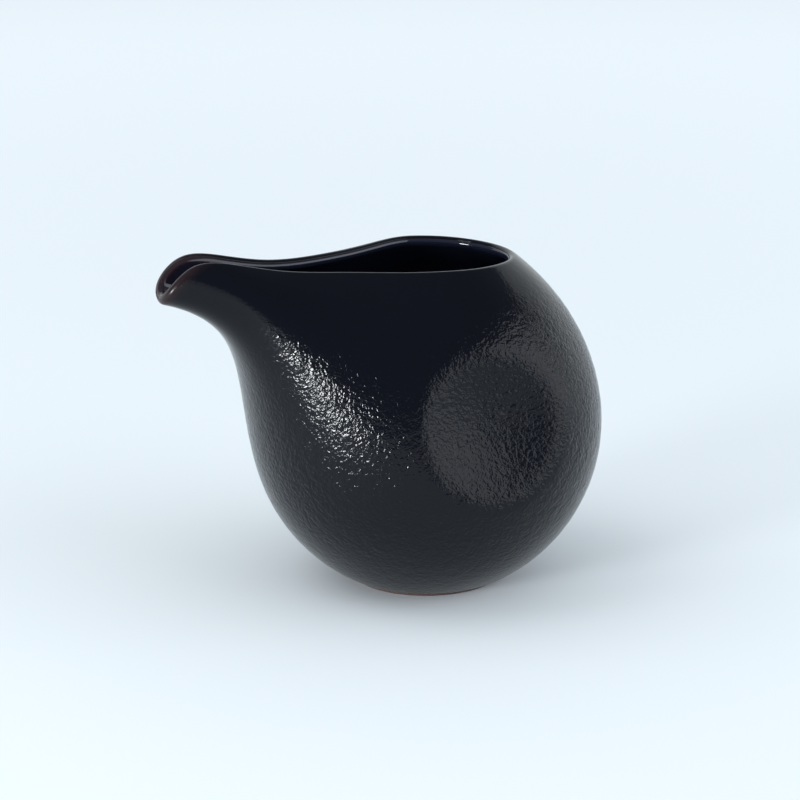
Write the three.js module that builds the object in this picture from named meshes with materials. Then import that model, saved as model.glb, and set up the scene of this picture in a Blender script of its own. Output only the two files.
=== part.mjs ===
// A lipped sake pourer (katakuchi) of thrown and pinched stoneware, glazed black.
// The pot is one casting of clay with a low foot ring, and three coats of glaze are fired onto it:
// a pimpled satin coat outside, a smooth glossy coat inside, and a patch inside the foot ring.
// Millimetres, +Z up, the spout towards -X. The origin lies under the middle of the length.
import * as THREE from "three";

// Belly
const BODY_RADIUS = 50; // the round belly, over the glaze
const BELLY_HEIGHT = 45.2; // the belly's centre over the table
const NECK_ANGLE = 152; // degrees up from the bottom, where the sphere would meet the rim
const WALL = 3.4; // glaze, clay and glaze together
const FLOOR_ANGLE = 35; // degrees up from the bottom, where the inner floor starts to level out
const FLOOR_POWER = 8; // how flat the inner floor is

// Mouth: a round back half, then stations along the pouring lip, each [forward, half width, height]
const MOUTH_BACK = 25.6; // the rim behind the belly's axis
const MOUTH_SIDE = 24.2; // the rim beside the belly's axis
const RIM_BACK_HEIGHT = 92.9;
const RIM_SIDE_HEIGHT = 93.7;
const SPOUT_STATIONS = [
  [13, 18.8, 93.1],
  [28, 11.9, 93.5],
  [44, 7.9, 93.8],
  [58, 6.4, 97.3],
  [69.4, 7.2, 99.5],
  [77, 7.7, 90.2],
];
const SPOUT_TIP = [77.2, 85.2]; // forward, height
const LIP_RADIUS = 1.6; // the rounded edge of the mouth

// How the belly is drawn out into the mouth and the spout
const FLARE_ANGLE = 66; // degrees up from the bottom, where the drawing out starts
const FLARE_POWER = 3.2; // higher keeps the belly round for longer
const FLARE_POWER_SPOUT = 3.0; // the same, straight under the spout

// The two thumb dimples, one on each side
const DIMPLE_DEPTH = 7; // at the middle, measured towards the belly's centre
const DIMPLE_SPREAD = 24.5; // degrees from the middle to the edge
const DIMPLE_RAISE = 12; // degrees that the middle lies above the belly's centre
const DIMPLE_EDGE = 2.2; // depth over which the edge rolls over

// Foot
const FOOT_RADIUS = 22.2; // the outer edge of the foot ring
const FOOT_ROUND = 0.5; // the rounding of both edges of the foot ring
const FOOT_WIDTH = 4.6; // the flat ring that the pot stands on
const RECESS_DEPTH = 1.7; // the hollow inside the foot ring, before its glaze
const RECESS_SLANT = 1.6; // how far the hollow's side leans in

// Glaze
const GLAZE = 0.5; // the coats' thickness on the walls
const GLAZE_AT_LIP = 0.3; // where they run thin over the lip
const GLAZE_LINE = 28.4; // degrees up from the bottom, where the outer coat ends above the foot
const GLAZE_TAPER = 0.8; // degrees over which that edge thins out
const PATCH_GLAZE = 0.4; // the patch inside the foot ring
const PATCH_MARGIN = 1.2; // bare clay between the patch and the foot ring's inner edge

// Facets
const PER_STATION = 2; // columns between two stations of the rim
const OUTER_ROWS = 20;
const INNER_ROWS = 16;
const WALL_CROWDING = 1.45; // above 1 sets the rows closer towards the mouth
const LIP_ROWS = 4;
const FLOOR_ROWS = 3;
const PROBE = 1e-4; // the step with which slopes are measured
const TIE_BREAK = 1e-5; // settles which diagonal splits a facet whose diagonals are alike

const BLACK_SATIN = { color: 0x15161a, roughness: 0.32, metalness: 0 };
const BLACK_GLOSS = { color: 0x0b0b0d, roughness: 0.08, metalness: 0 };
const BARE_CLAY = { color: 0x4a3a33, roughness: 0.85, metalness: 0 };

const BACK_STATIONS = 6;
const TIP_STATION = BACK_STATIONS + SPOUT_STATIONS.length + 1;
const COLUMNS = 2 * TIP_STATION * PER_STATION;
const BELLY_CENTRE = new THREE.Vector3(0, 0, BELLY_HEIGHT);
const FOOT_ANGLE = Math.acos((BELLY_HEIGHT - FOOT_ROUND) / BODY_RADIUS); // where the wall leaves the foot

const radians = THREE.MathUtils.degToRad;
const clamp01 = (x) => THREE.MathUtils.clamp(x, 0, 1);

// Control point of the rim's outer edge: stations 0 to TIP_STATION run from the back round to the
// spout's tip, and the other side mirrors them. angle is where the belly feeds that part of the rim.
function rimStation(k) {
  if (k < 0 || k > TIP_STATION) {
    const twin = rimStation(k < 0 ? -k : 2 * TIP_STATION - k);
    const turn = k < 0 ? 0 : 2 * Math.PI;
    return { point: twin.point.multiply(new THREE.Vector3(1, -1, 1)), angle: turn - twin.angle };
  }
  if (k > BACK_STATIONS) {
    const front = k - BACK_STATIONS;
    const angle = (Math.PI / 2) * (1 + front / (TIP_STATION - BACK_STATIONS));
    const [forward, half, height] =
      k === TIP_STATION ? [SPOUT_TIP[0], 0, SPOUT_TIP[1]] : SPOUT_STATIONS[front - 1];
    return { point: new THREE.Vector3(-forward, half, height), angle };
  }
  const step = Math.PI / 2 / BACK_STATIONS;
  const angle = k * step;
  const outward = 1 + step ** 2 / 6; // a uniform spline cuts inside its control points by this much
  const height = RIM_SIDE_HEIGHT + ((RIM_BACK_HEIGHT - RIM_SIDE_HEIGHT) * (1 + Math.cos(2 * angle))) / 2;
  const x = MOUTH_BACK * outward * Math.cos(angle);
  const y = MOUTH_SIDE * outward * Math.sin(angle);
  return { point: new THREE.Vector3(x, y, height), angle };
}

// The rim's outer edge and its feeding angle at t, which counts stations: a cubic B-spline.
function rimAt(t) {
  const period = 2 * TIP_STATION;
  const laps = Math.floor(t / period);
  const within = t - laps * period;
  const k = Math.floor(within);
  const f = within - k;
  const weights = [(1 - f) ** 3, 3 * f ** 3 - 6 * f ** 2 + 4, -3 * f ** 3 + 3 * f ** 2 + 3 * f + 1, f ** 3];
  const point = new THREE.Vector3();
  let angle = laps * 2 * Math.PI;
  weights.forEach((weight, i) => {
    const station = rimStation(k + i - 1 > period ? k + i - 1 - period : k + i - 1);
    const turn = k + i - 1 > period ? 2 * Math.PI : 0;
    point.addScaledVector(station.point, weight / 6);
    angle += ((station.angle + turn) * weight) / 6;
  });
  return { point, angle };
}

// A point of the round belly: up is the angle from the bottom, around the angle from the back.
function bellyPoint(radius, up, around) {
  return new THREE.Vector3(
    radius * Math.sin(up) * Math.cos(around),
    radius * Math.sin(up) * Math.sin(around),
    BELLY_HEIGHT - radius * Math.cos(up),
  );
}

// Presses both dimples into a point, along the line to the belly's centre.
function pressDimples(point) {
  const ray = point.clone().sub(BELLY_CENTRE).normalize();
  const lean = radians(DIMPLE_RAISE);
  const spread = radians(DIMPLE_SPREAD);
  for (const side of [-1, 1]) {
    const axis = new THREE.Vector3(0, side * Math.cos(lean), Math.sin(lean));
    const bowl = DIMPLE_DEPTH * (1 - (ray.angleTo(axis) / spread) ** 2);
    const roll = Math.max(DIMPLE_EDGE - Math.abs(bowl), 0) ** 2 / (4 * DIMPLE_EDGE);
    point.addScaledVector(ray, -Math.max(bowl, 0) - roll);
  }
  return point;
}

// A wall of the pot: the belly at this radius, drawn out so that it ends at the given mouth edge.
function wallPoint(radius, up, around, edge) {
  const neck = radians(NECK_ANGLE);
  const flare = radians(FLARE_ANGLE);
  const towardsSpout = ((1 - Math.cos(around)) / 2) ** 4;
  const power = FLARE_POWER + (FLARE_POWER_SPOUT - FLARE_POWER) * towardsSpout;
  const pull = clamp01((up - flare) / (neck - flare)) ** power;
  const reach = edge.clone().sub(bellyPoint(radius, neck, around));
  return pressDimples(bellyPoint(radius, up, around).addScaledVector(reach, pull));
}

function outerWall(t, up) {
  const { point, angle } = rimAt(t);
  return wallPoint(BODY_RADIUS, up, angle, point);
}

// The outward normal of a surface given by two parameters, around and then up.
function normalOf(surface, a, b, lowB = -Infinity, highB = Infinity) {
  const alongA = surface(a + PROBE, b).sub(surface(a - PROBE, b));
  const alongB = surface(a, Math.min(b + PROBE, highB)).sub(surface(a, Math.max(b - PROBE, lowB)));
  return alongA.cross(alongB).normalize();
}

// The mouth's inner edge: one lip thickness inside the outer edge, square to the wall there.
function innerEdge(t) {
  const neck = radians(NECK_ANGLE);
  const normal = normalOf(outerWall, t, neck, -Infinity, neck);
  return outerWall(t, neck).addScaledVector(normal, -2 * LIP_RADIUS);
}

function innerWall(t, up) {
  return wallPoint(BODY_RADIUS - WALL, up, rimAt(t).angle, innerEdge(t));
}

// The rounded lip: a cubic Bezier from the outer wall's top to the inner wall's, f from 0 to 1.
function lipPoint(t, f) {
  const neck = radians(NECK_ANGLE);
  const ends = [outerWall, innerWall].map((wall) => {
    const top = wall(t, neck);
    const tangent = top.clone().sub(wall(t, neck - PROBE)).normalize();
    return [top, top.clone().addScaledVector(tangent, (4 / 3) * LIP_RADIUS)];
  });
  return new THREE.CubicBezierCurve3(ends[0][0], ends[0][1], ends[1][1], ends[1][0]).getPoint(f);
}

// The inner floor: inside FLOOR_ANGLE the sphere levels out to a nearly flat disc, f from 0 to 1.
function floorPoint(t, f) {
  const up = radians(FLOOR_ANGLE);
  const radius = (BODY_RADIUS - WALL) * Math.sin(up);
  const drop = (Math.tan(up) * radius * (1 - (1 - f) ** FLOOR_POWER)) / FLOOR_POWER;
  const edge = bellyPoint(BODY_RADIUS - WALL, up, rimAt(t).angle);
  return new THREE.Vector3(edge.x * (1 - f), edge.y * (1 - f), edge.z - drop);
}

// The fired skin from the foot up the outside, over the lip and down to the middle of the floor.
// w counts its four stretches: outer wall 0 to 1, lip 1 to 2, inner wall 2 to 3, floor 3 to 4.
function skinPoint(t, w) {
  const neck = radians(NECK_ANGLE);
  const below = (part, lowest) => neck - (neck - lowest) * part ** WALL_CROWDING;
  if (w <= 1) return outerWall(t, below(1 - w, FOOT_ANGLE));
  if (w <= 2) return lipPoint(t, w - 1);
  if (w <= 3) return innerWall(t, below(w - 2, radians(FLOOR_ANGLE)));
  return floorPoint(t, w - 3);
}

// The place along the outer wall, as skinPoint counts it, that lies this many degrees up.
function outerPlace(degrees) {
  const neck = radians(NECK_ANGLE);
  return 1 - ((neck - radians(degrees)) / (neck - FOOT_ANGLE)) ** (1 / WALL_CROWDING);
}

// One row of the pot's grid: its points on the fired skin, and the clay's just under them.
function rowAt(w) {
  const coat = w >= 1 && w <= 2 ? GLAZE_AT_LIP : GLAZE;
  const probeAt = THREE.MathUtils.clamp(w, PROBE, 4 - PROBE);
  const skin = [];
  const clay = [];
  for (let i = 0; i < COLUMNS; i += 1) {
    const t = i / PER_STATION;
    const point = skinPoint(t, w);
    skin.push(point);
    clay.push(point.clone().addScaledVector(normalOf(skinPoint, t, probeAt), -coat));
  }
  return { w, skin, clay };
}

const evenly = (from, to, count) => Array.from({ length: count }, (_, i) => from + ((to - from) * (i + 1)) / count);

// Level rings of the foot and its hollow, from [radius, height] pairs, on the pot's own columns.
function levelRings(outline) {
  return outline.map(([radius, height]) =>
    Array.from({ length: COLUMNS }, (_, i) => {
      const { angle } = rimAt(i / PER_STATION);
      return new THREE.Vector3(radius * Math.cos(angle), radius * Math.sin(angle), height);
    }),
  );
}

// A four-sided facet is split along its shorter diagonal, and where both are alike along the one
// nearer the spout, so that two bodies that share the facet split it the same way.
const diagonalCost = (p, q) => p.distanceTo(q) + TIE_BREAK * (p.x + q.x + 2 * (p.y + q.y) + 3 * (p.z + q.z));

// A body between rings that run along its outline, closed at both ends by a middle point, or,
// where the outline closes on itself, by joining the last ring to the first.
function bodyFromRings(rings, poles) {
  const points = rings.flat();
  const triangles = [];
  const at = (row, column) => (row % rings.length) * COLUMNS + (column % COLUMNS);
  const joins = poles ? rings.length - 1 : rings.length;
  for (let row = 0; row < joins; row += 1) {
    for (let i = 0; i < COLUMNS; i += 1) {
      const [a, b, c, d] = [at(row, i), at(row, i + 1), at(row + 1, i + 1), at(row + 1, i)];
      const split = diagonalCost(points[a], points[c]) < diagonalCost(points[b], points[d]);
      triangles.push(...(split ? [a, b, c, a, c, d] : [a, b, d, b, c, d]));
    }
  }
  if (poles) {
    const first = points.length;
    points.push(...poles.map((height) => new THREE.Vector3(0, 0, height)));
    for (let i = 0; i < COLUMNS; i += 1) {
      triangles.push(first, at(0, i + 1), at(0, i));
      triangles.push(first + 1, at(rings.length - 1, i), at(rings.length - 1, i + 1));
    }
  }
  const geometry = new THREE.BufferGeometry().setFromPoints(points);
  geometry.setIndex(triangles);
  geometry.computeVertexNormals();
  return geometry;
}

function piece(name, geometry, finish) {
  const mesh = new THREE.Mesh(geometry, new THREE.MeshStandardMaterial(finish));
  mesh.name = name;
  return mesh;
}

// The foot's outline from the middle of its hollow to where the outer wall starts.
function footOutline() {
  const inner = FOOT_RADIUS - FOOT_WIDTH;
  const corner = (radius, side) =>
    evenly(0, 1, 2).map((f) => {
      const angle = (Math.PI / 2) * (side > 0 ? f : 1 - f);
      return [radius + side * FOOT_ROUND * (Math.sin(angle) - 1), FOOT_ROUND * (1 - Math.cos(angle))];
    });
  return [
    [inner - RECESS_SLANT - PATCH_MARGIN, RECESS_DEPTH],
    [inner - RECESS_SLANT, RECESS_DEPTH],
    [inner - FOOT_ROUND * 0.3, FOOT_ROUND * 0.6],
    [inner + FOOT_ROUND, 0],
    [FOOT_RADIUS - FOOT_ROUND, 0],
    ...corner(FOOT_RADIUS, 1).slice(0, 1),
  ];
}

const lineRows = [0, outerPlace(GLAZE_LINE), outerPlace(GLAZE_LINE + GLAZE_TAPER)];
const outerRows = [...lineRows, ...evenly(lineRows[2], 1, OUTER_ROWS)].map(rowAt);
const lipRows = evenly(1, 2, LIP_ROWS).map(rowAt);
const innerRows = evenly(2, 3, INNER_ROWS).map(rowAt);
const floorRows = evenly(3, 4, FLOOR_ROWS).slice(0, -1).map(rowAt);
const crest = LIP_ROWS / 2;
const floorTop = floorPoint(0, 1).z;

// The clay: foot, outer side, lip, inner side and floor, in one closed outline.
function clayBody() {
  const rows = [...outerRows, ...lipRows, ...innerRows, ...floorRows];
  const rings = [...levelRings(footOutline()), ...rows.map((row) => row.clay)];
  return piece("clay_body", bodyFromRings(rings, [RECESS_DEPTH, floorTop - GLAZE]), BARE_CLAY);
}

// The outer coat, from its thinned edge above the foot to the crest of the lip.
function outerGlaze() {
  const rows = [...outerRows.slice(1), ...lipRows.slice(0, crest)];
  const skin = rows.slice(1).map((row) => row.skin);
  const back = rows.map((row) => row.clay).reverse();
  return piece("outer_glaze", bodyFromRings([...skin, ...back]), BLACK_SATIN);
}

// The inner coat, from the crest of the lip down the inside and over the floor.
function innerGlaze() {
  const rows = [...lipRows.slice(crest - 1), ...innerRows, ...floorRows];
  const skin = rows.map((row) => row.skin);
  const back = rows.map((row) => row.clay).reverse();
  return piece("inner_glaze", bodyFromRings([...back, ...skin], [floorTop - GLAZE, floorTop]), BLACK_GLOSS);
}

// The patch of glaze inside the foot ring.
function footGlaze() {
  const radius = FOOT_RADIUS - FOOT_WIDTH - RECESS_SLANT - PATCH_MARGIN;
  const rings = levelRings([
    [radius - PATCH_GLAZE, RECESS_DEPTH - PATCH_GLAZE],
    [radius, RECESS_DEPTH],
  ]);
  const heights = [RECESS_DEPTH - PATCH_GLAZE, RECESS_DEPTH];
  return piece("foot_glaze", bodyFromRings(rings, heights), BLACK_SATIN);
}

const pourer = new THREE.Group();
pourer.add(clayBody(), outerGlaze(), innerGlaze(), footGlaze());

// Set the origin under the middle of the length.
const box = new THREE.Box3().setFromObject(pourer);
pourer.position.x = -(box.min.x + box.max.x) / 2;

export default pourer;
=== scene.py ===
"""A lipped sake pourer of black-glazed stoneware, on a pale table in soft light.

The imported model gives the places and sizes. Each of its solids is replaced by a fine surface worked
out from the same formulas: a round belly drawn out into a mouth and a spout, with a thumb dimple
pressed into each side.
"""
import logging
from dataclasses import dataclass, field
from enum import Enum
from math import acos, cos, pi, radians, sin, tan

import bpy
import numpy as np
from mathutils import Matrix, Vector


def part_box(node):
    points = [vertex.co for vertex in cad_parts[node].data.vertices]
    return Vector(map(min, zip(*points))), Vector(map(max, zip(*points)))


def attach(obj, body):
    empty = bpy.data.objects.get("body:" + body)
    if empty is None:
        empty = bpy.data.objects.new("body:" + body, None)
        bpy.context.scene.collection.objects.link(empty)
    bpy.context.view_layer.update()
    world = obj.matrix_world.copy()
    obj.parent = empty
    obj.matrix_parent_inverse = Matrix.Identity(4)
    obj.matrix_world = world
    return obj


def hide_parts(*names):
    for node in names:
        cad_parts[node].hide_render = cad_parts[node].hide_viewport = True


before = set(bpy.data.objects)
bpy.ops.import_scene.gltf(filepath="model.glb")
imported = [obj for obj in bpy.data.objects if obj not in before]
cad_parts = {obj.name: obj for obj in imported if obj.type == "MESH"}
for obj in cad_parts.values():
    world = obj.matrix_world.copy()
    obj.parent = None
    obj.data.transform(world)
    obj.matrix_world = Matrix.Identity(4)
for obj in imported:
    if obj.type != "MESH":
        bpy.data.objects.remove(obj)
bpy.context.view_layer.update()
LOG = logging.getLogger("pourer")
Colour = tuple[float, float, float]

MM = 0.001
PROBE = 1e-4
HALF_CIRCLE_HANDLE = 4 / 3


class Slot(str, Enum):
    """The record's material slots."""

    CLAY = "bare_clay"
    SATIN = "satin_glaze"
    GLOSS = "gloss_glaze"


class Mask(str, Enum):
    """The attributes that a finish reads from a piece."""

    BEADS = "beads"
    THIN = "thin"


def smooth(x: np.ndarray, low: float, high: float) -> np.ndarray:
    """A smooth step: three times the square of the share less twice its cube.

    Args:
        x: values to place between the two ends.
        low: where the step starts to rise.
        high: where the step is over.

    Returns:
        0 below low, 1 above high, and the step between.
    """
    share = np.clip((x - low) / (high - low), 0, 1)
    return share * share * (3 - 2 * share)


def unit(vectors: np.ndarray) -> np.ndarray:
    """The vectors at length 1."""
    return vectors / np.linalg.norm(vectors, axis=-1, keepdims=True)


@dataclass(frozen=True)
class PotShape:
    """The fired skin's shape, in millimetres and radians, with the belly's axis at x = 0.

    Angles up are counted from the bottom of the belly, and angles around from its back. The spout's
    stations give how far forward, how far to the side and how high each of them is.
    """

    belly_radius: float = 50.0
    belly_height: float = 45.2
    neck_angle: float = radians(152)
    wall: float = 3.4
    floor_angle: float = radians(35)
    floor_power: float = 8.0
    mouth_back: float = 25.6
    mouth_side: float = 24.2
    rim_back_height: float = 92.9
    rim_side_height: float = 93.7
    back_stations: int = 6
    spout_stations: tuple[tuple[float, float, float], ...] = (
        (13.0, 18.8, 93.1),
        (28.0, 11.9, 93.5),
        (44.0, 7.9, 93.8),
        (58.0, 6.4, 97.3),
        (69.4, 7.2, 99.5),
        (77.0, 7.7, 90.2),
        (77.2, 0.0, 85.2),
    )
    lip_radius: float = 1.6
    flare_angle: float = radians(66)
    flare_power: float = 3.2
    flare_power_spout: float = 3.0
    spout_focus: int = 4
    dimple_depth: float = 7.0
    dimple_spread: float = radians(24.5)
    dimple_raise: float = radians(12)
    dimple_edge: float = 2.2

    @property
    def tip_station(self) -> int:
        """The station at the spout's tip, counted from the back of the rim."""
        return self.back_stations + len(self.spout_stations)

    @property
    def inner_radius(self) -> float:
        """The radius of the hollow inside the belly."""
        return self.belly_radius - self.wall

    @property
    def floor_drop(self) -> float:
        """How far the floor's middle lies below the floor's edge."""
        return tan(self.floor_angle) * self.inner_radius * sin(self.floor_angle) / self.floor_power

    @property
    def floor_height(self) -> float:
        """The height of the floor's middle."""
        return self.belly_height - self.inner_radius * cos(self.floor_angle) - self.floor_drop

    def half_rim(self) -> tuple[np.ndarray, np.ndarray]:
        """The rim's control points from the back to the spout's tip.

        The back is a half ellipse in even steps, a little larger because the spline cuts inside its
        control points. The spout's stations follow.

        Returns:
            The points, one a row, and the angles round the belly that feed them.
        """
        step = pi / 2 / self.back_stations
        angle = np.arange(self.back_stations + 1) * step
        outward = 1 + step**2 / 6
        along = self.mouth_back * outward * np.cos(angle)
        across = self.mouth_side * outward * np.sin(angle)
        rise = (self.rim_back_height - self.rim_side_height) * (1 + np.cos(2 * angle)) / 2
        back = np.stack([along, across, self.rim_side_height + rise], 1)
        front = np.array(self.spout_stations) * [-1, 1, 1]
        spread = pi / 2 * (1 + np.arange(1, len(front) + 1) / len(front))
        return np.concatenate([back, front]), np.concatenate([angle, spread])

    def rim(self, t: np.ndarray) -> tuple[np.ndarray, np.ndarray]:
        """The rim's outer edge: a closed cubic B-spline, mirrored across the spout's plane.

        Args:
            t: places along the rim, counted in stations from the back.

        Returns:
            The points, and the angles round the belly that feed them.
        """
        points, angles = self.half_rim()
        period = 2 * self.tip_station
        base = np.floor(t).astype(int)
        f = t - base
        weights = ((1 - f) ** 3, 3 * f**3 - 6 * f**2 + 4, -3 * f**3 + 3 * f**2 + 3 * f + 1, f**3)
        point = np.zeros(t.shape + (3,))
        angle = np.zeros(t.shape)
        for offset, weight in enumerate(weights):
            lap, place = np.divmod(base + offset - 1, period)
            mirrored = place > self.tip_station
            station = np.where(mirrored, period - place, place)
            side = np.where(mirrored, -1.0, 1.0)
            turned = np.where(mirrored, 2 * pi - angles[station], angles[station])
            flip = np.stack([np.ones_like(side), side, np.ones_like(side)], -1)
            point += weight[..., None] / 6 * points[station] * flip
            angle += weight / 6 * (turned + 2 * pi * lap)
        return point, angle

    def belly(self, radius: float, up: np.ndarray, around: np.ndarray) -> np.ndarray:
        """Points of the round belly, which is a sphere.

        Args:
            radius: the sphere's radius.
            up: angles from the bottom.
            around: angles from the back.

        Returns:
            The points, at the angles' common shape.
        """
        up, around = np.broadcast_arrays(up, around)
        level = radius * np.sin(up)
        height = self.belly_height - radius * np.cos(up)
        return np.stack([level * np.cos(around), level * np.sin(around), height], -1)

    def pressed(self, points: np.ndarray) -> np.ndarray:
        """Presses both thumb dimples in, along the line to the belly's centre.

        A dimple's depth falls with the square of the angle from its middle, and its edge is rolled
        over by the square of what is left of the edge's own depth.

        Args:
            points: points of a wall.

        Returns:
            The points with the dimples.
        """
        ray = unit(points - [0, 0, self.belly_height])
        for side in (-1, 1):
            axis = np.array([0, side * cos(self.dimple_raise), sin(self.dimple_raise)])
            away = np.arccos(np.clip(ray @ axis, -1, 1)) / self.dimple_spread
            bowl = self.dimple_depth * (1 - away**2)
            roll = np.maximum(self.dimple_edge - np.abs(bowl), 0) ** 2 / (4 * self.dimple_edge)
            points = points - ray * (np.maximum(bowl, 0) + roll)[..., None]
        return points

    def wall_points(self, radius: float, up: np.ndarray, around: np.ndarray, edge: np.ndarray) -> np.ndarray:
        """A wall: the belly, pulled towards the mouth's edge by a power of how far up it is.

        Args:
            radius: the belly's radius at this wall.
            up: angles from the bottom.
            around: angles from the back.
            edge: the mouth's edge above each point.

        Returns:
            The wall's points, with the dimples.
        """
        neck = np.asarray(self.neck_angle)
        towards_spout = ((1 - np.cos(around)) / 2) ** self.spout_focus
        power = self.flare_power + (self.flare_power_spout - self.flare_power) * towards_spout
        share = np.clip((up - self.flare_angle) / (neck - self.flare_angle), 0, 1)
        reach = edge - self.belly(radius, neck, around)
        return self.pressed(self.belly(radius, up, around) + (share**power)[..., None] * reach)

    def outer(self, t: np.ndarray, up: np.ndarray) -> np.ndarray:
        """The outer wall at places t along the rim and angles up."""
        edge, around = self.rim(t)
        return self.wall_points(self.belly_radius, up, around, edge)

    def inner_edge(self, t: np.ndarray) -> np.ndarray:
        """The mouth's inner edge: one lip's thickness in from the outer edge, square to the wall.

        Args:
            t: places along the rim, counted in stations from the back.

        Returns:
            The edge's points.
        """
        neck = np.asarray(self.neck_angle)
        along = self.outer(t + PROBE, neck) - self.outer(t - PROBE, neck)
        upward = self.outer(t, neck) - self.outer(t, neck - PROBE)
        return self.outer(t, neck) - 2 * self.lip_radius * unit(np.cross(along, upward))

    def inner(self, t: np.ndarray, up: np.ndarray) -> np.ndarray:
        """The inner wall at places t along the rim and angles up."""
        return self.wall_points(self.inner_radius, up, self.rim(t)[1], self.inner_edge(t))

    def lip(self, t: np.ndarray, f: np.ndarray) -> np.ndarray:
        """The rounded lip: a cubic Bezier curve that leaves each wall in that wall's direction.

        Args:
            t: places along the rim, counted in stations from the back.
            f: shares of the way from the outer wall's top to the inner wall's.

        Returns:
            The lip's points.
        """
        neck = np.asarray(self.neck_angle)
        tops = [wall(t, neck) for wall in (self.outer, self.inner)]
        below = [wall(t, neck - PROBE) for wall in (self.outer, self.inner)]
        reach = HALF_CIRCLE_HANDLE * self.lip_radius
        handles = [top + reach * unit(top - lower) for top, lower in zip(tops, below)]
        f = f[..., None]
        ends = (1 - f) ** 3 * tops[0] + f**3 * tops[1]
        return ends + 3 * f * (1 - f) ** 2 * handles[0] + 3 * f**2 * (1 - f) * handles[1]

    def floor(self, t: np.ndarray, f: np.ndarray) -> np.ndarray:
        """The inner floor: it levels out by a high power of the distance from its middle.

        Args:
            t: places along the rim, counted in stations from the back.
            f: shares of the way from the floor's edge to its middle.

        Returns:
            The floor's points.
        """
        edge = self.belly(self.inner_radius, np.asarray(self.floor_angle), self.rim(t)[1])
        height = edge[..., 2] - self.floor_drop * (1 - (1 - f) ** self.floor_power)
        return np.stack([edge[..., 0] * (1 - f), edge[..., 1] * (1 - f), height], -1)


@dataclass
class PotGrid:
    """The fired skin and the clay under it, on one grid.

    Rows run up the outer wall, over the lip, down the inner wall and over the floor, and crowd
    towards the neck. Columns run round the pot from the back.
    """

    shape: PotShape = field(default_factory=PotShape)
    per_station: int = 15
    outer_rows: int = 205
    lip_rows: int = 12
    inner_rows: int = 90
    floor_rows: int = 24
    crowding: float = 1.25
    glaze: float = 0.5
    glaze_at_lip: float = 0.3
    foot_round: float = 0.5
    crest: int = field(init=False)
    up: np.ndarray = field(init=False)
    around: np.ndarray = field(init=False)
    skin: np.ndarray = field(init=False)
    normal: np.ndarray = field(init=False)
    clay: np.ndarray = field(init=False)

    def __post_init__(self) -> None:
        """Works out the skin, its normals, and the clay one coat of glaze below it."""
        shape = self.shape
        neck = shape.neck_angle
        foot = acos((shape.belly_height - self.foot_round) / shape.belly_radius)
        t = (np.arange(2 * shape.tip_station * self.per_station) / self.per_station)[None, :]
        outer_share = np.linspace(1, 0, self.outer_rows)[:, None] ** self.crowding
        inner_share = np.linspace(0, 1, self.inner_rows)[:, None] ** self.crowding
        up = neck - (neck - foot) * outer_share
        down = neck - (neck - shape.floor_angle) * inner_share
        over_lip = np.arange(1, self.lip_rows)[:, None] / self.lip_rows
        over_floor = np.arange(1, self.floor_rows)[:, None] / self.floor_rows
        outer_side = [shape.outer(t, up), shape.lip(t, over_lip)]
        inner_side = [shape.inner(t, down), shape.floor(t, over_floor)]
        self.up = up[:, 0]
        self.around = shape.rim(t[0])[1]
        self.skin = np.concatenate(outer_side + inner_side)
        self.crest = self.outer_rows + self.lip_rows // 2 - 1
        self.normal = normals(self.skin)
        coat = np.full(len(self.skin), self.glaze)
        coat[self.outer_rows : self.outer_rows + self.lip_rows - 1] = self.glaze_at_lip
        self.clay = self.skin - self.normal * coat[:, None, None]

    @property
    def from_crest(self) -> np.ndarray:
        """How far every skin point is from the crest of the lip, along its own column.

        Returns:
            The distances, by row and column.
        """
        steps = np.linalg.norm(np.diff(self.skin, axis=0), axis=-1)
        along = np.concatenate([np.zeros((1, self.skin.shape[1])), np.cumsum(steps, 0)])
        return np.abs(along - along[self.crest])

    def level_rings(self, outline: list[tuple[float, float]]) -> np.ndarray:
        """Level rings on the grid's columns.

        Args:
            outline: the radius and the height of each ring.

        Returns:
            The rings' points, one ring a row.
        """
        radius, height = np.array(outline).T[:, :, None]
        x = radius * np.cos(self.around)
        return np.stack([x, radius * np.sin(self.around), np.broadcast_to(height, x.shape)], -1)


def normals(grid: np.ndarray) -> np.ndarray:
    """The outward normals of a grid whose last column is followed by its first.

    Args:
        grid: points by row and column.

    Returns:
        The cross product of the way along a row and the way up a column, at length 1.
    """
    along = np.roll(grid, -1, 1) - np.roll(grid, 1, 1)
    return unit(np.cross(along, np.gradient(grid, axis=0)))


@dataclass(frozen=True)
class Relief:
    """Even random relief: a sum of plane waves with random directions, lengths and phases."""

    height: float = 0.022
    shortest: float = 2.6
    longest: float = 5.0
    waves: int = 72
    seed: int = 11

    def heights(self, points: np.ndarray) -> np.ndarray:
        """How far the relief stands out.

        Args:
            points: where it is wanted, in millimetres.

        Returns:
            Heights in millimetres, as many above zero as below.
        """
        rng = np.random.default_rng(self.seed)
        direction = unit(rng.normal(size=(self.waves, 3)))
        length = rng.uniform(self.shortest, self.longest, self.waves)
        phase = rng.uniform(0, 2 * pi, self.waves)
        turns = points.reshape(-1, 3) @ (direction * (2 * pi / length)[:, None]).T
        total = np.cos(turns + phase).sum(1) / np.sqrt(self.waves / 2)
        return self.height * total.reshape(points.shape[:-1])


def belly_axis() -> float:
    """Where the belly's axis lies in the frame, in metres: one belly radius in from the back."""
    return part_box("outer_glaze")[1][0] - PotShape().belly_radius * MM


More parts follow.
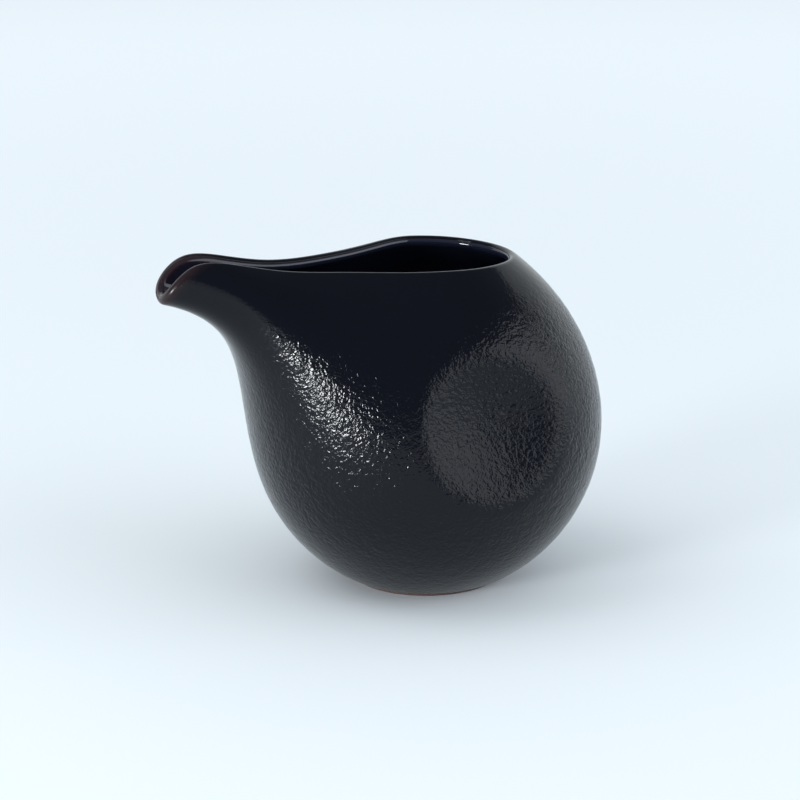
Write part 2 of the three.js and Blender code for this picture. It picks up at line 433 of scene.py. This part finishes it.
def ring_faces(rows: int, columns: int, joined: bool = False) -> np.ndarray:
    """Quads between neighbouring rings of points.

    Args:
        rows: how many rings there are.
        columns: how many points a ring has.
        joined: whether the last ring is joined to the first.

    Returns:
        Point numbers, one quad a row.
    """
    row = np.arange(rows if joined else rows - 1)[:, None]
    col = np.arange(columns)[None, :]
    here = row * columns
    there = (row + 1) % rows * columns
    after = (col + 1) % columns
    return np.stack([here + col, here + after, there + after, there + col], -1).reshape(-1, 4)


def linked(name: str, points: np.ndarray, faces: list[list[int]]) -> bpy.types.Object:
    """A mesh object, linked into the scene.

    Args:
        name: the object's and the mesh's name.
        points: its points in metres, one a row.
        faces: the point numbers of each face.

    Returns:
        The object, at the frame's origin.
    """
    mesh = bpy.data.meshes.new(name)
    mesh.from_pydata(points.tolist(), [], faces)
    piece = bpy.data.objects.new(name, mesh)
    bpy.context.scene.collection.objects.link(piece)
    return piece


def closed_piece(
    name: str, rings: np.ndarray, masks: dict[Mask, np.ndarray], poles: tuple[float, float] | None = None
) -> bpy.types.Object:
    """A closed body whose rings follow its outline.

    Args:
        name: the piece's name.
        rings: rows of points round the pot, in millimetres.
        masks: the attributes' values, one a ring point.
        poles: heights of the middle points that close the first and last rings. Without them the
            last ring is joined to the first.

    Returns:
        The object, in metres, at the frame's origin.
    """
    rows, columns = rings.shape[:2]
    points = rings.reshape(-1, 3)
    faces = ring_faces(rows, columns, joined=poles is None).tolist()
    if poles is not None:
        col = np.arange(columns)
        after = (col + 1) % columns
        end = (rows - 1) * columns
        pole = np.full(columns, rows * columns)
        points = np.concatenate([points, [[0, 0, height] for height in poles]])
        faces += np.stack([pole, after, col], 1).tolist()
        faces += np.stack([pole + 1, end + col, end + after], 1).tolist()
    piece = linked(name, points * MM + [belly_axis(), 0, 0], faces)
    mesh = piece.data
    mesh.polygons.foreach_set("use_smooth", np.ones(len(mesh.polygons), bool))
    for mask, values in masks.items():
        padded = np.zeros(len(points))
        padded[: values.size] = values.reshape(-1)
        mesh.attributes.new(mask.value, "FLOAT", "POINT").data.foreach_set("value", padded)
    mesh.update()
    return piece


def seat(piece: bpy.types.Object, node: str, material: bpy.types.Material) -> None:
    """Dresses a piece, puts it in the place of its node, and reports it.

    Args:
        piece: the piece.
        node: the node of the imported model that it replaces.
        material: its material.
    """
    piece.data.materials.append(material)
    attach(piece, "root")
    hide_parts(node)
    LOG.info("%s: %d faces in the place of %s", piece.name, len(piece.data.polygons), node)


@dataclass(frozen=True)
class Wiring:
    """A node tree, with short ways to add nodes and to feed their sockets."""

    tree: bpy.types.NodeTree

    def feed(self, node: bpy.types.Node, inputs: dict) -> None:
        """Fills a node's sockets.

        Args:
            node: the node.
            inputs: for each socket, its value or the output that is linked to it.
        """
        for socket, value in inputs.items():
            if isinstance(value, bpy.types.NodeSocket):
                self.tree.links.new(value, node.inputs[socket])
            else:
                node.inputs[socket].default_value = value

    def node(self, kind: str, inputs: dict | None = None, **settings: object) -> bpy.types.Node:
        """Adds a node.

        Args:
            kind: the node's type.
            inputs: for each socket, its value or the output that is linked to it.
            settings: the node's own properties.

        Returns:
            The node.
        """
        node = self.tree.nodes.new(kind)
        for name, value in settings.items():
            setattr(node, name, value)
        self.feed(node, inputs or {})
        return node

    def math(self, operation: str, *terms: object, clamp: bool = False) -> bpy.types.NodeSocket:
        """Adds a Math node.

        Args:
            operation: what it does.
            terms: its inputs in order, as numbers or outputs.
            clamp: whether the result is kept from 0 to 1.

        Returns:
            The node's output.
        """
        inputs = dict(enumerate(terms))
        return self.node("ShaderNodeMath", inputs, operation=operation, use_clamp=clamp).outputs[0]


def group_with(name: str, inputs: dict[str, float], output: str) -> Wiring:
    """A new shader node group that takes a vector and some numbers, and gives one number.

    Args:
        name: the group's name.
        inputs: the numbers' names and usual values.
        output: the result's name.

    Returns:
        The group's tree, ready for its nodes.
    """
    group = bpy.data.node_groups.new(name, "ShaderNodeTree")
    group.interface.new_socket("Vector", in_out="INPUT", socket_type="NodeSocketVector")
    for socket, value in inputs.items():
        item = group.interface.new_socket(socket, in_out="INPUT", socket_type="NodeSocketFloat")
        item.default_value = value
    group.interface.new_socket(output, in_out="OUTPUT", socket_type="NodeSocketFloat")
    return Wiring(group)


@dataclass(frozen=True)
class CitrusSkin:
    """The node group for fine pimples: a wandering noise with a finer one added to it.

    It takes Vector, the object coordinates, Size, beads to the metre, and Amount, from 0 to 1. It
    gives Height.
    """

    name: str = "citrus_skin"
    size: float = 520.0
    detail: float = 1.5
    wander: float = 0.35
    fine_ratio: float = 2.3
    fine_share: float = 0.22

    def group(self) -> bpy.types.NodeTree:
        """Builds the group the first time that it is asked for.

        Returns:
            The group.
        """
        if self.name in bpy.data.node_groups:
            return bpy.data.node_groups[self.name]
        wiring = group_with(self.name, {"Size": self.size, "Amount": 1.0}, "Height")
        given = wiring.node("NodeGroupInput").outputs
        place = {"Vector": given["Vector"]}
        coarse = {"Scale": given["Size"], "Detail": self.detail, "Distortion": self.wander}
        fine = {"Scale": wiring.math("MULTIPLY", given["Size"], self.fine_ratio), "Detail": 0.0}
        beads = wiring.node("ShaderNodeTexNoise", place | coarse).outputs["Fac"]
        grain = wiring.node("ShaderNodeTexNoise", place | fine).outputs["Fac"]
        total = wiring.math("ADD", beads, wiring.math("MULTIPLY", grain, self.fine_share))
        wiring.node("NodeGroupOutput", {"Height": wiring.math("MULTIPLY", total, given["Amount"])})
        return wiring.tree


@dataclass(frozen=True)
class ThinGlazeBreak:
    """The node group for blotches with ragged edges, as a glaze breaks where it runs thin.

    It takes Vector, the object coordinates, Size, blotches to the metre, and Amount, how thin the
    glaze is, from 0 to 1. It gives Mask, 1 where the clay's colour shows through: the noise moved up
    or down by the amount, and faded with it.
    """

    name: str = "thin_glaze_break"
    size: float = 900.0
    detail: float = 4.0
    raggedness: float = 0.65
    noise_range: tuple[float, float] = (0.3, 0.7)
    shift: tuple[float, float] = (2.0, -1.0)

    def group(self) -> bpy.types.NodeTree:
        """Builds the group the first time that it is asked for.

        Returns:
            The group.
        """
        if self.name in bpy.data.node_groups:
            return bpy.data.node_groups[self.name]
        wiring = group_with(self.name, {"Size": self.size, "Amount": 0.0}, "Mask")
        given = wiring.node("NodeGroupInput").outputs
        noise = {"Scale": given["Size"], "Detail": self.detail, "Roughness": self.raggedness}
        blotch = wiring.node("ShaderNodeTexNoise", noise | {"Vector": given["Vector"]}).outputs["Fac"]
        low, high = self.noise_range
        spread = wiring.node("ShaderNodeMapRange", {"Value": blotch, "From Min": low, "From Max": high})
        moved = wiring.math("MULTIPLY_ADD", given["Amount"], *self.shift)
        total = wiring.math("ADD", spread.outputs["Result"], moved, clamp=True)
        faded = wiring.math("MULTIPLY", total, given["Amount"], clamp=True)
        wiring.node("NodeGroupOutput", {"Mask": faded})
        return wiring.tree


@dataclass(frozen=True)
class Finish:
    """A fired finish: its colours, its gloss and its fine relief in millimetres."""

    name: str
    colour: Colour
    thin_colour: Colour
    roughness: float
    thin_roughness: float
    bead_size: float
    bead_height: float
    blotch_size: float = 1500.0
    ior: float = 1.5

    def material(self) -> bpy.types.Material:
        """The finish as a material, which reads the piece's masks.

        Returns:
            The material, with its thin places tinted and dulled, and its beads as bump.
        """
        material = bpy.data.materials.new(self.name)
        material.use_nodes = True
        wiring = Wiring(material.node_tree)
        place = wiring.node("ShaderNodeTexCoord").outputs["Object"]
        thin = wiring.node("ShaderNodeAttribute", attribute_name=Mask.THIN.value).outputs["Fac"]
        beads = wiring.node("ShaderNodeAttribute", attribute_name=Mask.BEADS.value).outputs["Fac"]
        broken = wiring.node("ShaderNodeGroup", node_tree=ThinGlazeBreak().group())
        wiring.feed(broken, {"Vector": place, "Size": self.blotch_size, "Amount": thin})
        tints = {"A": (*self.colour, 1), "B": (*self.thin_colour, 1), "Factor": broken.outputs["Mask"]}
        tint = wiring.node("ShaderNodeMix", tints, data_type="RGBA")
        gloss = {"To Min": self.roughness, "To Max": self.thin_roughness, "Value": broken.outputs["Mask"]}
        dull = wiring.node("ShaderNodeMapRange", gloss)
        skin = wiring.node("ShaderNodeGroup", node_tree=CitrusSkin().group())
        wiring.feed(skin, {"Vector": place, "Size": self.bead_size, "Amount": beads})
        height = {"Strength": 1.0, "Distance": self.bead_height * MM, "Height": skin.outputs["Height"]}
        bump = wiring.node("ShaderNodeBump", height)
        shader = material.node_tree.nodes["Principled BSDF"]
        wiring.feed(shader, {"IOR": self.ior, "Base Color": tint.outputs["Result"]})
        wiring.feed(shader, {"Roughness": dull.outputs["Result"], "Normal": bump.outputs["Normal"]})
        return material


SATIN_GLAZE = Finish(
    name="satin_black_glaze",
    colour=(0.0014, 0.0019, 0.0038),
    thin_colour=(0.014, 0.0068, 0.0078),
    roughness=0.14,
    thin_roughness=0.3,
    bead_size=920.0,
    bead_height=0.29,
    ior=1.31,
)
GLOSS_GLAZE = Finish(
    name="gloss_black_glaze",
    colour=(0.009, 0.011, 0.022),
    thin_colour=(0.014, 0.0062, 0.0076),
    roughness=0.07,
    thin_roughness=0.2,
    bead_size=260.0,
    bead_height=0.05,
)
BARE_CLAY = Finish(
    name="bare_stoneware",
    colour=(0.05, 0.03, 0.03),
    thin_colour=(0.085, 0.042, 0.036),
    roughness=0.8,
    thin_roughness=0.9,
    bead_size=1600.0,
    bead_height=0.12,
)


@dataclass(frozen=True)
class Foot:
    """The foot ring, the hollow inside it and the patch of glaze in the hollow, in millimetres."""

    radius: float = 22.2
    width: float = 4.6
    depth: float = 1.7
    slant: float = 1.6
    patch_glaze: float = 0.4
    patch_margin: float = 1.2
    patch_beads: float = 0.4
    patch_shares: tuple[float, ...] = (0.3, 0.6, 0.9)
    patch_edge_rows: int = 5
    corner_rows: int = 6

    @property
    def hollow_radius(self) -> float:
        """The radius of the hollow's flat top."""
        return self.radius - self.width - self.slant

    @property
    def patch_radius(self) -> float:
        """The radius of the patch of glaze."""
        return self.hollow_radius - self.patch_margin

    def clay_outline(self, corner: float) -> list[tuple[float, float]]:
        """The foot's outline from the hollow to the belly.

        Args:
            corner: the radius of the ring's two corners, which are quarter circles.

        Returns:
            The radius and the height of each ring of points.
        """
        turns = np.linspace(0, pi / 2, self.corner_rows)
        inner = self.radius - self.width
        hollow = [(self.patch_radius, self.depth), (self.hollow_radius, self.depth)]
        inside = [(inner + corner * (1 - sin(a)), corner * (1 - cos(a))) for a in turns[::-1]]
        outside = [(self.radius + corner * (sin(a) - 1), corner * (1 - cos(a))) for a in turns]
        return hollow + inside + outside

    def patch_outline(self) -> list[tuple[float, float]]:
        """The patch's outline: flat below, with a rounded edge.

        Returns:
            The radius and the height of each ring of points.
        """
        thick = self.patch_glaze
        low = self.depth - thick
        turns = np.linspace(0, pi / 2, self.patch_edge_rows)
        flat = [(self.patch_radius * share, low) for share in self.patch_shares]
        edge = [(self.patch_radius - thick * (1 - sin(a)), low + thick * (1 - cos(a))) for a in turns]
        return flat + edge


@dataclass(frozen=True)
class SkinMasks:
    """Where the glaze's pimples fade, and where it runs thin, in millimetres of the pot's own frame."""

    least_beads: float = 0.14
    low_beads: float = 0.35
    rim_fade: tuple[float, float] = (74.0, 92.0)
    foot_fade: tuple[float, float] = (8.0, 42.0)
    spout_fade: tuple[float, float] = (-62.0, -44.0)
    spout_start: tuple[float, float] = (50.0, 74.0)
    thin_at_rim: float = 0.45
    thin_reach: float = 0.9
    thin_reach_more: float = 3.4

    def beads(self, points: np.ndarray) -> np.ndarray:
        """How strong the pimples are: full on the belly, fading to the rim, the spout and the foot.

        Args:
            points: points of the skin.

        Returns:
            The strength, from 0 to 1.
        """
        rim = 1 - smooth(points[..., 2], *self.rim_fade)
        foot = self.low_beads + (1 - self.low_beads) * smooth(points[..., 2], *self.foot_fade)
        spout = smooth(points[..., 0], *self.spout_fade)
        return self.least_beads + (1 - self.least_beads) * rim * foot * spout

    def thin(self, points: np.ndarray, from_crest: np.ndarray) -> np.ndarray:
        """How thin the glaze runs: a bell curve across the crest of the lip, widest at the spout.

        Args:
            points: points of the skin.
            from_crest: the distance of each of them from the crest of the lip.

        Returns:
            The thinness, from 0 to 1.
        """
        spout = smooth(-points[..., 0], *self.spout_start)
        edge = np.exp(-((from_crest / (self.thin_reach + self.thin_reach_more * spout)) ** 2))
        return edge * (self.thin_at_rim + (1 - self.thin_at_rim) * spout)


@dataclass
class GlazedPot:
    """The pot: the clay and its three coats of glaze."""

    grid: PotGrid = field(default_factory=PotGrid)
    foot: Foot = field(default_factory=Foot)
    masks: SkinMasks = field(default_factory=SkinMasks)
    relief: Relief = field(default_factory=Relief)
    glaze_line: float = radians(28.4)
    glaze_taper: float = radians(0.8)
    glaze_heel_rows: int = 3
    coat_step: int = 9
    clay_step: int = 4
    clay_fine_rows: int = 12
    clay_thin: float = 0.5

    @property
    def clay_floor(self) -> float:
        """The height of the clay floor's middle, under the glaze."""
        return self.grid.shape.floor_height - self.grid.glaze

    def outer_glaze(self) -> bpy.types.Object:
        """The outer coat: its skin with the larger relief, and its back against the clay.

        Returns:
            The piece, a ring whose last row is joined to its first.
        """
        grid = self.grid
        start = int(np.searchsorted(grid.up, self.glaze_line + self.glaze_taper))
        heel = int(np.searchsorted(grid.up, self.glaze_line))
        skin = grid.skin[start : grid.crest + 1]
        beads = self.masks.beads(skin)
        thin = self.masks.thin(skin, grid.from_crest[start : grid.crest + 1])
        stand = self.relief.heights(skin) * beads
        proud = skin + grid.normal[start : grid.crest + 1] * stand[..., None]
        rows = np.arange(grid.crest, heel, -self.coat_step)
        rows = np.unique(np.append(rows, [heel, heel + self.glaze_heel_rows]))[::-1]
        back = grid.clay[rows]
        blank = np.zeros(back.shape[:2])
        masks = {Mask.BEADS: np.concatenate([beads, blank]), Mask.THIN: np.concatenate([thin, blank])}
        return closed_piece("outer_glaze_coat", np.concatenate([proud, back]), masks)

    def inner_glaze(self) -> bpy.types.Object:
        """The inner coat, from the crest of the lip down the inside and over the floor.

        Returns:
            The piece, closed by its two middle points in the floor.
        """
        grid = self.grid
        skin = grid.skin[grid.crest :]
        last = len(grid.skin) - 1
        rows = np.unique(np.append(np.arange(grid.crest, last + 1, self.coat_step), last))[::-1]
        back = grid.clay[rows]
        blank = np.zeros(back.shape[:2])
        thin = self.masks.thin(skin, grid.from_crest[grid.crest :])
        beads = np.ones(skin.shape[:2])
        masks = {Mask.BEADS: np.concatenate([blank, beads]), Mask.THIN: np.concatenate([blank, thin])}
        poles = (self.clay_floor, grid.shape.floor_height)
        return closed_piece("inner_glaze_coat", np.concatenate([back, skin]), masks, poles)

    def clay_body(self) -> bpy.types.Object:
        """The clay: the hollow under the foot, the foot ring, both walls and the floor.

        Returns:
            The piece, closed by the middle points of the hollow and of the floor.
        """
        grid = self.grid
        fine = np.arange(self.clay_fine_rows)
        coarse = np.arange(self.clay_fine_rows, len(grid.clay), self.clay_step)
        rows = np.unique(np.concatenate([fine, coarse, [grid.crest]]))
        foot = grid.level_rings(self.foot.clay_outline(grid.foot_round))
        rings = np.concatenate([foot, grid.clay[rows]])
        every = rings.shape[:2]
        masks = {Mask.BEADS: np.ones(every), Mask.THIN: np.full(every, self.clay_thin)}
        return closed_piece("stoneware_body", rings, masks, (self.foot.depth, self.clay_floor))

    def foot_glaze(self) -> bpy.types.Object:
        """The patch of glaze in the foot's hollow.

        Returns:
            The piece, closed by the middle points of its two sides.
        """
        rings = self.grid.level_rings(self.foot.patch_outline())
        every = rings.shape[:2]
        masks = {Mask.BEADS: np.full(every, self.foot.patch_beads), Mask.THIN: np.zeros(every)}
        poles = (self.foot.depth - self.foot.patch_glaze, self.foot.depth)
        return closed_piece("foot_glaze_patch", rings, masks, poles)

    def build(self) -> None:
        """Makes the four pieces and seats them."""
        satin = SATIN_GLAZE.material()
        seat(self.clay_body(), "clay_body", BARE_CLAY.material())
        seat(self.outer_glaze(), "outer_glaze", satin)
        seat(self.inner_glaze(), "inner_glaze", GLOSS_GLAZE.material())
        seat(self.foot_glaze(), "foot_glaze", satin)


@dataclass(frozen=True)
class Softbox:
    """A soft lamp or a lit wall, as an area light aimed at the pot, in metres."""

    name: str
    place: tuple[float, float, float]
    size: tuple[float, float]
    radiance: float
    colour: Colour
    in_gloss: bool = True

    def build(self, target: Vector) -> None:
        """Adds the lamp. Its power is its radiance times its area times pi.

        Args:
            target: the point that it is aimed at.
        """
        lamp = bpy.data.lights.new(self.name, "AREA")
        lamp.shape = "RECTANGLE"
        lamp.size, lamp.size_y = self.size
        lamp.energy = self.radiance * self.size[0] * self.size[1] * pi
        lamp.color = self.colour
        holder = bpy.data.objects.new(self.name, lamp)
        holder.location = self.place
        holder.rotation_euler = (target - Vector(self.place)).to_track_quat("-Z", "Y").to_euler()
        holder.visible_camera = False
        holder.visible_glossy = self.in_gloss
        bpy.context.scene.collection.objects.link(holder)


LAMPS = (
    Softbox("window_left", (-1.12, -0.36, 0.13), (0.3, 0.24), 74.0, (0.95, 0.98, 1.0)),
    Softbox("wall_front_right", (1.13, -1.0, 0.55), (1.7, 1.3), 2.1, (0.9, 0.94, 1.0)),
    Softbox("wall_right", (1.7, 0.2, 0.35), (1.2, 0.7), 0.25, (0.92, 0.95, 1.0)),
    Softbox("ceiling", (-1.1, 0.4, 1.7), (1.5, 1.5), 1.15, (0.97, 0.98, 1.0), in_gloss=False),
)


@dataclass(frozen=True)
class View:
    """The camera's direction and distance, and where the belly's centre falls in the picture."""

    azimuth: float = radians(-24)
    elevation: float = radians(17)
    distance: float = 0.65
    pixels_to_mm: float = 3.5
    belly_pixel: tuple[float, float] = (425.75, 420.0)
    picture: float = 800.0
    sensor: float = 36.0

    def build(self, target: Vector) -> None:
        """Adds the camera, turned so that the belly's centre falls on its pixel.

        Args:
            target: the belly's centre.
        """
        level = cos(self.elevation)
        back = Vector((sin(self.azimuth) * level, -cos(self.azimuth) * level, sin(self.elevation)))
        right = Vector((cos(self.azimuth), sin(self.azimuth), 0))
        up = back.cross(right)
        middle = self.picture / 2
        across, down = [(middle - pixel) / self.pixels_to_mm * MM for pixel in self.belly_pixel]
        aim = target + right * across - up * down
        camera = bpy.data.cameras.new("camera")
        camera.sensor_width = self.sensor
        camera.lens = self.sensor * self.pixels_to_mm * self.distance / MM / self.picture
        holder = bpy.data.objects.new("camera", camera)
        holder.location = target + back * self.distance
        holder.rotation_euler = (aim - holder.location).to_track_quat("-Z", "Y").to_euler()
        bpy.context.scene.collection.objects.link(holder)
        bpy.context.scene.camera = holder


@dataclass(frozen=True)
class Studio:
    """The pale table, the surroundings, the lamps and the camera.

    Lengths are metres and the dome's angles degrees. The dome's lower edge rises from the first to
    the second of dome_edge, where the angle from the camera's direction goes from the first to the
    second of dome_turn.
    """

    view: View = field(default_factory=View)
    turns: int = 96
    table_radii: tuple[float, float] = (4.0, 0.5)
    table_colour: Colour = (0.81, 0.855, 0.885)
    table_roughness: float = 0.75
    table_gloss: float = 0.2
    haze: float = 0.17
    haze_reach: tuple[float, float] = (0.12, 1.3)
    sky_colour: Colour = (0.88, 0.945, 0.985)
    sky_light: float = 0.78
    room_glow: Colour = (0.2, 0.23, 0.3)
    dome_radius: float = 3.6
    dome_rows: int = 16
    dome_edge: tuple[float, float] = (3.0, 40.0)
    dome_turn: tuple[float, float] = (95.0, 125.0)

    def table(self) -> None:
        """The pale table: a flat disc. Far out it is whitened for the camera alone."""
        turn = np.arange(self.turns) * 2 * pi / self.turns
        radius = np.array(self.table_radii)[:, None]
        points = np.stack([radius * np.cos(turn), radius * np.sin(turn), 0 * radius * turn], -1)
        middle = np.arange(self.turns, 2 * self.turns).tolist()
        faces = ring_faces(len(self.table_radii), self.turns).tolist() + [middle]
        piece = linked("table", points.reshape(-1, 3), faces)
        material = bpy.data.materials.new("pale_table")
        material.use_nodes = True
        wiring = Wiring(material.node_tree)
        place = wiring.node("ShaderNodeTexCoord").outputs["Object"]
        out = wiring.node("ShaderNodeVectorMath", {0: place}, operation="LENGTH").outputs["Value"]
        near, far = self.haze_reach
        reach = {"Value": out, "From Min": near, "From Max": far, "To Max": self.haze}
        lift = wiring.node("ShaderNodeMapRange", reach, interpolation_type="SMOOTHSTEP")
        seen = wiring.node("ShaderNodeLightPath").outputs["Is Camera Ray"]
        white = wiring.math("MULTIPLY", lift.outputs["Result"], seen)
        shader = material.node_tree.nodes["Principled BSDF"]
        wiring.feed(shader, {"Base Color": (*self.table_colour, 1), "Roughness": self.table_roughness})
        wiring.feed(shader, {"Specular IOR Level": self.table_gloss})
        wiring.feed(shader, {"Emission Color": (*self.sky_colour, 1), "Emission Strength": white})
        piece.data.materials.append(material)

    def dim_room(self) -> None:
        """The dim room as gloss shows it: a dome that stays open low down behind the pot."""
        turn = np.arange(self.turns) * 2 * pi / self.turns
        away = np.degrees(np.minimum(turn, 2 * pi - turn))
        low = self.dome_edge[0] + (self.dome_edge[1] - self.dome_edge[0]) * smooth(away, *self.dome_turn)
        rise = np.radians(low + (90 - low) * np.linspace(0, 1, self.dome_rows)[:, None])
        azimuth = turn + self.view.azimuth - pi / 2
        level = self.dome_radius * np.cos(rise)
        height = self.dome_radius * np.sin(rise)
        points = np.stack([level * np.cos(azimuth), level * np.sin(azimuth), height], -1)
        inward = ring_faces(self.dome_rows, self.turns)[:, ::-1]
        piece = linked("dim_room", points.reshape(-1, 3), inward.tolist())
        piece.visible_camera = False
        piece.visible_diffuse = False
        piece.visible_shadow = False
        material = bpy.data.materials.new("dim_room")
        material.use_nodes = True
        shader = material.node_tree.nodes["Principled BSDF"]
        wiring = Wiring(material.node_tree)
        wiring.feed(shader, {"Base Color": (0, 0, 0, 1), "Specular IOR Level": 0.0})
        wiring.feed(shader, {"Emission Color": (*self.room_glow, 1), "Emission Strength": 1.0})
        piece.data.materials.append(material)

    def surroundings(self) -> None:
        """Pale surroundings: full strength where the camera or gloss sees them, less as light."""
        world = bpy.data.worlds.new("pale_room")
        bpy.context.scene.world = world
        world.use_nodes = True
        wiring = Wiring(world.node_tree)
        path = wiring.node("ShaderNodeLightPath").outputs
        seen = wiring.math("MAXIMUM", path["Is Camera Ray"], path["Is Glossy Ray"])
        seen = wiring.math("MAXIMUM", seen, path["Is Transmission Ray"])
        strength = wiring.node("ShaderNodeMapRange", {"Value": seen, "To Min": self.sky_light, "To Max": 1.0})
        sky = world.node_tree.nodes["Background"]
        wiring.feed(sky, {"Color": (*self.sky_colour, 1), "Strength": strength.outputs["Result"]})

    def build(self) -> None:
        """Sets the table, the light and the camera."""
        target = Vector((belly_axis(), 0, PotShape().belly_height * MM))
        bpy.context.scene.view_settings.view_transform = "Standard"
        self.table()
        self.dim_room()
        self.surroundings()
        for lamp in LAMPS:
            lamp.build(target)
        self.view.build(target)


def main() -> None:
    """Builds the studio and the pot."""
    logging.basicConfig(level=logging.INFO, format="%(name)s: %(message)s")
    Studio().build()
    GlazedPot().build()


if __name__ == "__main__":
    main()
